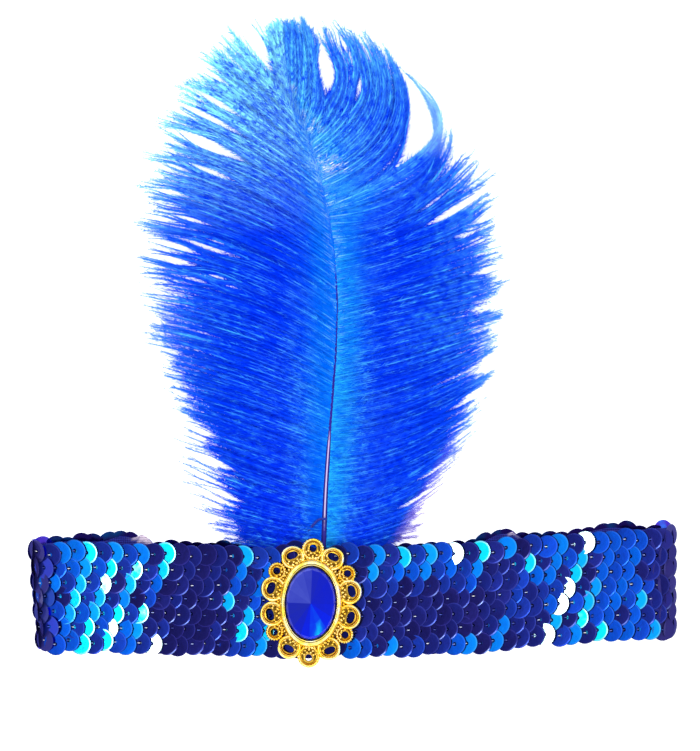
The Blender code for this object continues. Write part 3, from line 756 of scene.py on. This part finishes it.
def barb_finish():
    """Dyed barbs: azure beside the quill, cobalt further out, with broken paler lines of painted sheen
    along them.
    """
    finish = Finish("dyed_barbs", Roughness=0.7, Specular_IOR_Level=0.0)
    reach, tone, barb = finish.mark("reach"), finish.mark("tone"), finish.mark("barb")
    right = (barb - (NAME_SPREAD + RIGHT_NAMES) / 2).clamp()
    x, y = finish.axis(0), finish.axis(1)
    x_mm, y_mm = x * 1000.0, y * 1000.0
    along = finish.node("CombineXYZ", {}, {0: reach * 10.0, 1: barb})
    streak = finish.noise(1.0, 3.0, vector=along).rising(0.45, 6.0)
    vein = finish.noise(2.2, 2.0, vector=along)
    patch = finish.noise(24.0, 2.0).rising(0.40, 3.2)
    tuft = finish.noise(420.0, 3.0).rising(0.35, 3.0)

    # Azure and cobalt lines beside the quill, and a deeper lower left
    near = (1.0 - reach * 4.6 + (vein - 0.5) * 1.2).clamp()
    beside = near * right * (1.6 - y * 9.0).clamp(0.3, 1.2)
    deep = finish.blend((beside * (vein * 4.0 - 1.45)).clamp(), finish.ramp(reach, DEEP_DYE), AZURE)
    deep = finish.blend(near * (1.0 - (vein * 5.0 - 1.5).clamp()) * 0.75, deep, COBALT)
    deep = finish.blend(y_mm.below(62.0, 40.0) * (1.0 - right) * 0.6, deep, ULTRAMARINE)

    # Painted sheen: paler lines along the shafts
    # painted light: the right vane lighter, as if lit from the right
    lit_from_right = (x * 25.0 + 0.2).clamp()
    lit = tone * streak * (0.50 + tuft * 0.75) + patch * tuft * (0.16 + lit_from_right * 0.2)
    lit = lit * (1.0 - y_mm.below(85.0, 45.0) * right * 0.4)
    dye_and_sheen = finish.blend((lit * (1.0 + right * 0.18)).clamp(), deep, finish.ramp(reach, SHEEN_DYE))

    # Sky blue towards the top in streaks of painted sheen, most of all at the left's tips and the right's
    # roots
    spread = 0.62 + reach * 0.75 + right * (0.78 - reach * 1.35)
    shine = ((vein * 7.0 - 3.0).clamp() * (0.5 + tone) + tuft * 0.22) * spread
    even = (1.0 - right * (0.2 + reach * 1.1)).clamp(0.35, 1.0)
    top = y_mm.above(126.0, 48.0) * (even + y_mm.above(174.0, 16.0) * 0.45)
    dye_and_sheen = finish.blend((top * shine).clamp(), dye_and_sheen, finish.blend(right, SKY_LEFT, SKY_RIGHT))

    # Mauve tips low on the right, and a painted highlight on the pale hook high on the right
    mauve = reach.rising(0.82, 6.0) * y_mm.below(60.0, 25.0) * (x * 40.0 + 0.2).clamp(0.0, 0.6)
    dye_and_sheen = finish.blend(mauve, dye_and_sheen, MAUVE)
    hook_highlight = y_mm.above(153.0, 9.0) * x_mm.above(33.8, 4.0) * right
    dye_and_sheen = finish.blend(hook_highlight * (0.45 + streak * 0.35), dye_and_sheen, HOOK_HIGHLIGHT)

    # Light ticks of painted highlight at the roots, strokes a little further out, and pale bunches high
    # on the quill
    tick_highlight = (1.0 - reach * 12.0).clamp() * (y * 12.0 - 0.9).clamp() * tone * streak
    dye_and_sheen = finish.blend(tick_highlight.clamp(), dye_and_sheen, TICK_HIGHLIGHT)
    stroke = reach.rising(0.10, 20.0) * ((0.32 - reach) * 10.0).clamp() * vein.rising(0.50, 9.0)
    stroke = stroke * (tuft + 0.3).clamp() * y_mm.below(115.0, 40.0) * 0.7
    dye_and_sheen = finish.blend(stroke, dye_and_sheen, STROKE)
    bunch = 0.0
    for at, half in BUNCHES:
        away = (y_mm - at) / half
        bunch = bunch + (1.0 - away * away).clamp()
    bunch = bunch * ((0.17 - reach) * 12.0).clamp() * reach.rising(0.012, 60.0) * vein.rising(0.53, 14.0)
    finish.feed("Base Color", finish.blend(bunch * (right + 0.15).clamp(), dye_and_sheen, NEAR_WHITE))
    return finish


# Cameo

def cameo_place(points):
    """From the cameo's own centre to its turned seat on the band."""
    points = np.asarray(points, float).reshape(-1, 3)
    cos, sin = math.cos(CAMEO_TURN), math.sin(CAMEO_TURN)
    x = points[:, 0] * cos - points[:, 1] * sin
    y = points[:, 0] * sin + points[:, 1] * cos
    return xyz(x, y, points[:, 2] + CAMEO_Z)


def all_lobes():
    """Middle, radius, hole radius and hole middle of each of the fourteen lobes."""
    for x, y, radius, hole, drawn in LOBES:
        outward = math.hypot(x, y)
        for side_x in ((1, -1) if x else (1,)):
            for side_y in (1, -1):
                middle = np.array((x * side_x, y * side_y))
                yield middle, radius, hole, middle * (1 + drawn / outward)


def oval_hoop(half, section, sides, stretch=1.0):
    """A hoop round an oval from its closed section, which stretch widens at the oval's ends."""
    turn = angles_round(sides)
    x = (half[0] + section[:, 0, None]) * np.cos(turn)
    y = (half[1] + section[:, 0, None] * stretch) * np.sin(turn)
    return xyz(x, y, section[:, 1, None]), ring_faces(len(section), sides)


def lobe_points(middle, radius, hole, hole_middle, milled):
    """A dished lobe round its hole, with a raised rim that is milled on the small lobes."""
    sides = 120 if milled else 60
    turn = angles_round(sides)
    ring = np.stack([np.cos(turn), np.sin(turn)], -1)
    notch = 0.5 - 0.5 * np.cos(turn * 20) if milled else np.zeros(sides)
    widened, pinched = (1.0, 0.0) if milled else (1.18, 0.42)
    facing = ring @ (middle / np.linalg.norm(middle))
    pierced = hole * widened * (1.0 - pinched * np.abs(facing) ** 1.5)
    rings = []
    for share, extra, height, bite in LOBE_RINGS:
        centre = hole_middle * (1 - share) + middle * share
        reach = pierced * (1 - share) + radius * share + extra - 0.15 * bite * notch
        flat = centre + ring * reach[:, None]
        rings.append(np.column_stack([flat, height - 0.42 * bite * notch]))
    return np.concatenate(rings), ring_faces(len(LOBE_RINGS), sides)


def granule_spots(middle, radius, hole, hole_middle):
    """Spots of granules in rows fanned round the inner side of a lobe's hole."""
    inward = math.atan2(-middle[1] * 0.6, -middle[0])
    for step, count in ((0.7, 4), (1.55, 5), (2.4, 6)):
        for part in range(count):
            turn = inward + (part / (count - 1) - 0.5) * 2.1
            spot = hole_middle + (hole + step) * np.array((math.cos(turn), math.sin(turn)))
            if np.linalg.norm(spot - middle) < radius - 0.9:
                yield spot


def rope_spots(middle, radius):
    """Spots of the fine rope line inside a large lobe's rim."""
    turn = angles_round(40)
    return middle + (radius - 1.12) * np.stack([np.cos(turn), np.sin(turn)], -1)


def make_cameo_frame():
    """Pierced gold frame: plate, bezel, lobes with milled or plain rims, granules and a beaded line."""
    frame_shell = Shell()

    def put(points, faces):
        frame_shell.add(cameo_place(points), faces)

    put(*oval_hoop(PLATE_MIDDLE, PLATE, 96))
    put(*oval_hoop(BEZEL_MIDDLE, BEZEL, 128, stretch=1.3))
    ball, ball_faces = bead(0.42, 8)
    for turn in angles_round(BEADS):
        put(ball + (BEAD_LINE[0] * math.cos(turn), BEAD_LINE[1] * math.sin(turn), 1.1), ball_faces)
    granule, granule_faces = bead(0.44, 7)
    for lobe in all_lobes():
        middle, radius, *_ = lobe
        milled = radius < 4.0
        put(*lobe_points(*lobe, milled))
        for spot in granule_spots(*lobe):
            put(granule + (*spot, 1.05), granule_faces)
        if not milled:
            for spot in rope_spots(middle, radius):
                put(granule * 0.55 + (*spot, 1.12), granule_faces)
    frame_shell.piece("cameo_frame", gold_finish(), "gold_metal", ["cameo_setting"], smooth=50.0)


def make_gem():
    """Oval stone with a table and crown facets; the foiled facets below show through as sectors, shaded
    with painted reflection and painted flashes.
    """
    sides = len(SECTOR_LIGHT)
    turn = angles_round(sides)

    def ring(size, shift=0.0):
        step = turn + shift * 2 * np.pi / sides
        return xyz(size[0] * np.cos(step), size[1] * np.sin(step), size[2])

    base, girdle = ring(STONE_BASE), ring(STONE_GIRDLE)
    crown, table = ring(STONE_CROWN, 0.5), ring(STONE_TABLE)
    top, foot = np.array([0.0, 0.0, STONE_TOP]), np.array([0.0, 0.0, STONE_BASE[2]])
    stone = Shell()

    def facet(tone, *corners):
        stone.add(cameo_place(corners), np.array([range(len(corners))]), tone=tone)

    for number in range(sides):
        after, before = (number + 1) % sides, (number - 1) % sides
        shade, next_shade = SECTOR_LIGHT[number], SECTOR_LIGHT[after]
        inner, next_inner = (table[at] * 0.62 + top * 0.38 for at in (number, after))
        flash = FLASHING.get(number, (shade, shade))
        facet((*flash, shade, shade), table[number], table[after], next_inner, inner)
        facet(min(shade * 0.96, 0.80), inner, next_inner, top)
        facet(0.5 * (shade + next_shade) * 0.9, table[number], crown[number], table[after])
        facet(shade * 0.85, crown[before], crown[number], table[number])
        sparkle = 1.0 if number in FLASHING else shade * 0.95
        facet((shade, shade, sparkle), girdle[number], girdle[after], crown[number])
        facet(shade, girdle[number], crown[number], crown[before])
        facet(0.3, base[number], base[after], girdle[after], girdle[number])
        facet(0.3, base[after], base[number], foot)
    stone.piece("gem_stone", gem_finish(), "gem_blue", ["gem"], smooth=0.0)


# Plume

def quill_point(y):
    """The quill where it passes this y: x, z and radius."""
    return [np.interp(y, QUILL[:, 1], QUILL[:, column]) for column in (0, 2, 3)]


def make_quill():
    """The tapered shaft, with its bends smoothed."""
    count, sides, reach = 120, 16, 4
    y = np.linspace(QUILL[0, 1], QUILL[-1, 1], count)
    x, z, radius = quill_point(y)
    kernel = np.ones(2 * reach + 1) / (2 * reach + 1)

    def smoothed(line):
        return np.convolve(np.pad(line, reach, mode="reflect", reflect_type="odd"), kernel, "valid")

    points, faces = tube(xyz(smoothed(x), y, smoothed(z)), radius, sides)
    side = np.tile(np.abs(np.cos(angles_round(sides))), count)
    shell = Shell()
    shell.add(points, faces, reach=np.repeat(np.linspace(0, 1, count), sides), side=side)
    shell.piece("quill_shaft", quill_finish(), "quill_blue", ["quill"])


def vane_place(locks, side, number, share):
    """Places on a vane, from a fractional lock number and a share of a barb's length."""
    order = np.arange(len(locks))
    root_y, tip_x, tip_y, bow = (np.interp(number, order, locks[:, column]) for column in range(4))
    quill_x, quill_z, radius = quill_point(root_y)
    bare = 0.70 - 0.30 * ease((root_y - 50.0) / 12.0) - 0.34 * ease((root_y - 95.0) / 45.0)
    root_x = quill_x + side * radius * bare
    chord_x, chord_y = tip_x - root_x, tip_y - root_y
    reach = 0.45 + 1.9 * np.maximum(-bow - 0.2, 0.0)
    bend_x = root_x + chord_x * reach - side * chord_y * bow * 2
    bend_y = root_y + chord_y * reach + side * chord_x * bow * 2

    def curve(root, bend, tip):
        return (1 - share) ** 2 * root + 2 * share * (1 - share) * bend + share * share * tip

    return curve(root_x, bend_x, tip_x), curve(root_y, bend_y, tip_y), quill_z + radius * 0.9


def barb_lengths(start, root_y, side, trim):
    """Share of its lock's length that each barb has; trim is the share the lowest ones lose."""
    count = len(start)
    wave = 0.05 * np.sin(start * 5.3 + side) + 0.03 * np.sin(start * 12.7)
    length = 1.01 + 0.7 * wave - 0.19 * between(0, 1, count) ** 1.5
    length = length * (1.0 - trim * (1.0 - ease((root_y - 32.0) / 26.0)))
    in_thin_lock = (side < 0) & (start > THIN_LEFT[0]) & (start < THIN_LEFT[1])
    return np.where(in_thin_lock & (between(0, 1, count) < 0.84), 0.5 * length, length)


def small_gaps(lock_count):
    """Small gaps anywhere in the outer half of a vane."""
    count = 16
    at, opens = between(1.0, lock_count - 1.5, count), between(0.5, 0.85, count)
    long, wide = between(0.12, 0.3, count), between(0.03, 0.06, count)
    return zip(at, opens, opens + long, wide)


def open_gaps(start, share, gaps):
    """Lock numbers once the gaps have pushed barbs aside, and how near a gap each point is."""
    beside_gap = np.zeros_like(share)
    number = start[:, None] + beside_gap
    for at, opens, closes, wide in gaps:
        away = start - at
        spindle = np.sin(np.clip((share - opens) / (closes - opens), 0.0, 1.0) * math.pi) ** 1.3
        near = np.exp(-np.abs(away) / min(0.33, 0.08 + wide))[:, None] * spindle
        number = number + np.sign(away)[:, None] * wide * near
        beside_gap = np.maximum(beside_gap, near)
    return number, beside_gap


def barb_lines(locks, side, gaps, count, parts, rise, trim):
    """Lines of many barbs from the quill to their tips, parted by spindle-shaped gaps."""
    root_y = np.linspace(locks[0, 0] - 0.5, locks[-1, 0] + 1.0, count) + between(-0.15, 0.15, count)
    start = np.interp(root_y, locks[:, 0], np.arange(len(locks)))
    length = barb_lengths(start, root_y, side, trim)[:, None]
    share = np.linspace(0, 1, parts + 1)[None, :] * length
    within = np.where((share > 0) & (share < length), 1, 0)
    share = share + between(-0.4, 0.4, share.shape) * within / parts
    number, beside_gap = open_gaps(start, share, (*gaps, *small_gaps(len(locks))))

    # Tips draw together in wisps, and every barb wanders, a few of them far
    wisp = (np.floor(start * 4.3 + 0.2 * np.sin(start * 9.0)) + 0.5) / 4.3
    number += ((wisp - start) * between(0.0, 0.36, count))[:, None] * ease((share - 0.4) / 0.5)
    turn = share * between(2.0, 6.0, count)[:, None] + between(0.0, 6.28, count)[:, None]
    strays = between(0, 1, count) < 0.06
    wander = np.where(strays, between(0.2, 0.5, count), between(0.03, 0.12, count))[:, None]
    number += np.sin(turn) * wander * share ** 2

    # They leave the quill at its height, arch over each other and lie down at their tips
    x, y, root_z = vane_place(locks, side, number, share)
    floor_z = 0.5 + between(0.0, 1.9, count)[:, None]
    height = floor_z + (root_z - floor_z) * (1 - np.clip(share, 0, 1) ** 1.7)
    arch = np.sin(np.clip(share * 1.05, 0, 1) * math.pi) ** 0.7
    height += (between(-1.1, 0.9, count) + rise)[:, None] * arch
    return xyz(x, y, np.maximum(height, 0.25)), share, beside_gap, start


def barb_shell(line, share, beside_gap, tone, names, width, fringe, splay, twist):
    """Flat strips along the barbs, with fine barbules standing off both edges."""
    count, nodes = share.shape
    ahead = unit(np.gradient(line, axis=1))
    level = unit(np.cross(ahead, np.array((0.0, 0.0, 1.0))))
    lift = np.cross(level, ahead)
    lean = between(-1, 1, (count, 1))
    waves, phase = between(2.0, 7.0, (count, 1)), between(0.0, 6.28, (count, 1))
    turn = twist * (lean + 0.7 * np.sin(share * waves + phase))
    wide = level * np.cos(turn)[:, :, None] + lift * np.sin(turn)[:, :, None]
    whole = np.linspace(0, 1, nodes)
    half = (0.5 * width * (1 - 0.9 * whole ** 3.6))[None, :, None]
    edges = np.stack([line - wide * half, line + wide * half], 2)
    part = np.arange(nodes - 1)
    strip = np.stack([2 * part, 2 * part + 1, 2 * part + 3, 2 * part + 2], -1)
    quads = (strip[None] + (np.arange(count) * 2 * nodes)[:, None, None]).reshape(-1, 4)
    name = names + between(0.0, NAME_SPREAD, (count, 1))
    shell = Shell()
    shell.add(edges, quads, reach=np.repeat(share, 2, axis=1), tone=np.repeat(tone, 2 * nodes),
              barb=np.repeat(name, 2 * nodes, axis=1))
    length = (fringe * (0.6 + 0.4 * np.sin(whole ** 0.8 * math.pi)) + 0.3)[None, :-1]
    length = length * (1.0 - 0.7 * beside_gap[:, :-1])
    splay = splay * (1.0 - 0.3 * whole[None, :-1])
    for edge, way in ((0, -1.0), (1, 1.0)):
        for shift in (0.0, 0.5):
            foot = edges[:, :-1, edge] * (1 - shift) + edges[:, 1:, edge] * shift
            aside = wide[:, :-1] * way
            add_barbules(shell, foot, ahead[:, :-1], aside, length, splay, share[:, :-1], tone, name)
    return shell


def add_barbules(shell, foot, ahead, aside, length, splay, share, tone, name):
    """One thin barbule from each foot, splayed from ahead to aside."""
    shape = share.shape
    angle = between(0.3, 1.6, shape) * splay
    out = ahead * np.cos(angle)[..., None] + aside * np.sin(angle)[..., None]
    out[..., 2] += between(-0.25, 0.15, shape)
    reach = (length * between(0.4, 1.3, shape))[..., None]
    tip = foot + out * reach
    tip[..., 2] = np.maximum(tip[..., 2], 0.1)
    heel = foot + ahead * (0.2 + 0.06 * reach)
    strand = np.stack([foot, heel, tip], 2)
    corners = strand.shape[:3]
    # painted sheen of each barbule, taken from its barb's
    shade = tone[:, None, None] * between(0, 1, (*shape, 1)) ** 2 * np.ones(3)
    shell.add(strand, np.arange(shade.size).reshape(-1, 3), tone=shade,
              reach=np.broadcast_to((share + 0.04)[..., None], corners),
              barb=np.broadcast_to(name[..., None], corners))


def make_plume():
    """Quill, tie, and on each side long shafts over soft down."""
    finish = barb_finish()
    for name, locks, side, gaps, names, trim in (
        ("left", LEFT_LOCKS, -1, LEFT_GAPS, LEFT_NAMES, 0.14),
        ("right", RIGHT_LOCKS, 1, RIGHT_GAPS, RIGHT_NAMES, 0.06),
    ):
        line, share, beside_gap, start = barb_lines(locks, side, gaps, 230, 70, rise=1.2, trim=-0.14)
        # strength of the painted sheen on each shaft
        tone = between(0, 1, len(line)) ** 0.7
        # the hook's barbs carry the strongest painted sheen
        tone = np.where((side > 0) & (np.abs(start - HOOK) < 0.2), 1.3, tone)
        barbs = barb_shell(line, share, beside_gap, tone, names, 0.30, fringe=2.4, splay=0.42, twist=0.4)
        barbs.piece(name + "_barbs", finish, "feather_blue", [name + "_vane"], smooth=180.0)
        line, share, beside_gap, _ = barb_lines(locks, side, gaps, 480, 52, rise=-0.3, trim=trim)
        # strength of the painted sheen on the down
        tone = 0.95 * between(0, 1, len(line)) ** 2.6
        down = barb_shell(line, share, beside_gap, tone, names, 1.15, fringe=3.8, splay=0.55, twist=0.25)
        down.piece(name + "_down", finish, "feather_blue", [name + "_vane"], smooth=180.0)
    make_quill()
    make_tie()


def make_tie():
    """A dark thread bound over the quill just above the band."""
    share = np.linspace(0, 1, 24)
    x = -4.6 + 10.4 * share
    y = 21.5 + 7.2 * ease(share * 1.25)
    _, z, radius = quill_point(y)
    over = z + radius + 0.9 - 2.6 * ((x - 4.3) / 8.0) ** 2
    shell = Shell()
    shell.add(*tube(xyz(x, y, over), 0.42, 8), tone=0.0)
    shell.piece("quill_tie", thread_finish("tie_thread", 0.1), "feather_blue")


# Surroundings, in metres

def area_light(name, place, aim, size, radiance):
    """A soft rectangular light that points from its place to its aim."""
    data = bpy.data.lights.new(name, "AREA")
    data.shape = "RECTANGLE"
    data.size, data.size_y = size
    data.energy = radiance * math.pi * size[0] * size[1]
    light = new_object(name, data)
    light.location = place
    light.rotation_euler = (Vector(aim) - Vector(place)).to_track_quat("-Z", "Y").to_euler()
    light.visible_camera = False


def make_surroundings():
    corners = [(-3, -3, 0), (3, -3, 0), (3, 3, 0), (-3, 3, 0)]
    mesh = bpy.data.meshes.new("pale_floor")
    mesh.from_pydata(corners, [], [(0, 1, 2, 3)])
    floor = new_object("pale_floor", mesh)
    floor.location.z = -0.0002
    finish = Finish("pale_floor", Base_Color=(0.6, 0.6, 0.6, 1.0), Roughness=0.9, Specular_IOR_Level=0.0,
                    Emission_Color=(1.0, 1.0, 1.0, 1.0), Emission_Strength=0.95)
    mesh.materials.append(finish.material)
    make_room()
    aim = (0.01, 0.05, 0.0)
    area_light("left_strip", (-0.86, 0.05, 1.05), aim, (1.0, 0.12), 8.0)
    area_light("right_panel", (1.3, 0.0, 0.9), aim, (1.4, 0.30), 3.0)
    area_light("top_panel", (0.1, 1.2, 1.0), aim, (1.2, 0.30), 3.0)


# Shades of the room, from below to straight overhead
ROOM = (
    (0, (0.9, 0.9, 0.9)), (0.84, (1, 1, 1)), (0.885, (0.75, 0.75, 0.75)),
    (0.935, (0.32, 0.32, 0.32)), (0.972, (0.11, 0.11, 0.12)),
)


def make_room():
    """Soft pale room, dim straight overhead."""
    world = bpy.data.worlds.new("soft_room")
    bpy.context.scene.world = world
    world.use_nodes = True
    room = Nodes(world.node_tree, "Background")
    room.feed("Color", room.ramp(room.axis(2, "Generated"), ROOM))
    room.closing.inputs["Strength"].default_value = 1.3


def make_camera():
    data = bpy.data.cameras.new("photo_view")
    data.lens = 180.0
    data.sensor_width = 36.0
    camera = new_object("photo_view", data)
    camera.location = (0.01345, 0.0781, 1.303)
    bpy.context.scene.camera = camera
    bpy.context.scene.view_settings.view_transform = "Standard"


make_camera()
make_surroundings()
make_ribbon()
make_sequins()
make_cameo_frame()
make_gem()
make_plume()
